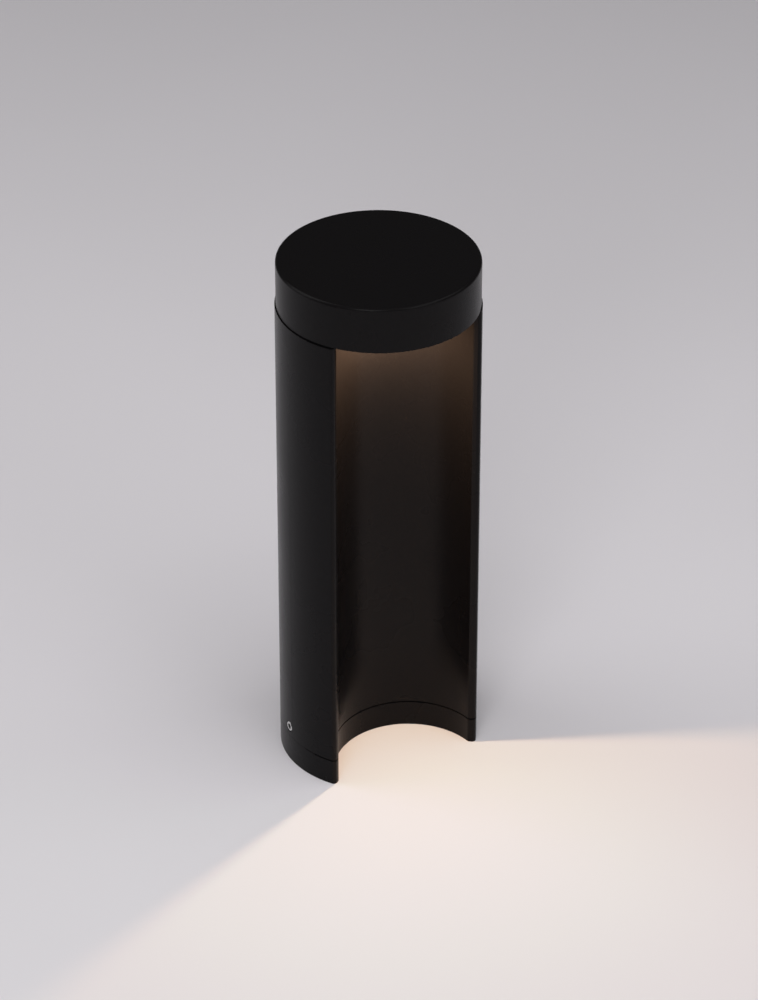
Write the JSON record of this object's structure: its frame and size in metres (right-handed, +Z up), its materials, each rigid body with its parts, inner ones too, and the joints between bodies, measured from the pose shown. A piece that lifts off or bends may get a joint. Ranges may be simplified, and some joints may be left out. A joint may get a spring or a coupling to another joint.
{
  "type": "bollard light",
  "caption": "Low bollard light: crescent column with a concave light recess, round cap with a downlight, crescent base.",
  "frame": {"origin": "on the ground plane, on the axis of the column's round outer face", "axes": "+Z up, the light recess opens toward -Y, +X is to the right when looking along +Y into the recess"},
  "size_m": [0.1084, 0.1078, 0.3],
  "materials": {
    "black_powder_coat": "satin black powder coat with a fine texture",
    "black_rubber": "matt EPDM",
    "silicone": "translucent grey silicone",
    "thermal_pad": "matt gap pad",
    "black_plastic": "moulded black polyamide",
    "white_plastic": "moulded white polycarbonate",
    "brass": "turned brass",
    "stainless": "A2 stainless steel",
    "clear_glass": "toughened clear glass",
    "bare_aluminium": "machined aluminium",
    "phosphor": "yellow phosphor over the chips, emissive",
    "galvanised_steel": "zinc-plated sheet",
    "red_insulation": "silicone insulation",
    "black_insulation": "silicone insulation",
    "brown_insulation": "PVC insulation",
    "blue_insulation": "PVC insulation",
    "green_insulation": "PVC insulation, green with a yellow stripe",
    "tinned_copper": "tinned copper"
  },
  "bodies": {
    "base": {"mounting_base": "black_powder_coat", "ground_gasket": "black_rubber", "seat_seal": "black_rubber", "seat_shim": "black_powder_coat", "gland_body": "black_plastic", "gland_insert": "black_rubber", "gland_nut": "black_plastic", "earth_screw": "brass", "earth_washer": "brass"},
    "column": {"column": "black_powder_coat", "head_seal": "black_rubber", "head_shim": "black_powder_coat", "head_plate": "black_powder_coat", "head_plate_screws": "stainless", "cap_shell": "black_powder_coat", "cap_gasket": "black_rubber", "cap_screws": "stainless", "glass_gasket": "silicone", "front_glass": "clear_glass", "glass_clamp": "bare_aluminium", "standoffs": "brass", "led_holder": "white_plastic", "led_board": "bare_aluminium", "led_emitter": "phosphor", "holder_screws": "stainless", "thermal_pad": "thermal_pad", "heat_sink": "bare_aluminium", "heat_sink_screws": "stainless", "lead_grommet": "black_rubber", "led_lead_positive": "red_insulation", "led_lead_negative": "black_insulation", "gear_tray": "galvanised_steel", "tray_screws": "stainless", "led_driver": "white_plastic", "driver_screws": "stainless", "terminal_block": "white_plastic", "terminal_screws": "brass", "block_screws": "stainless", "supply_lead_line": "brown_insulation", "supply_lead_neutral": "blue_insulation", "earth_lead": "green_insulation", "earth_lug": "tinned_copper", "tray_earth_screw": "brass", "cable_clamp": "black_plastic", "clamp_screws": "stainless"},
    "set_screw_left": {"set_screw_left": "stainless"},
    "set_screw_right": {"set_screw_right": "stainless"}
  },
  "joints": [
    {"name": "column_lift", "type": "slide", "parent": "base", "child": "column", "axis": [0, 0, 1], "range_m": [0, 0.03]},
    {"name": "set_screw_left_out", "type": "slide", "parent": "column", "child": "set_screw_left", "axis": [-1, 0, 0], "range_m": [0, 0.004]},
    {"name": "set_screw_right_out", "type": "slide", "parent": "column", "child": "set_screw_right", "axis": [1, 0, 0], "range_m": [0, 0.004]}
  ]
}
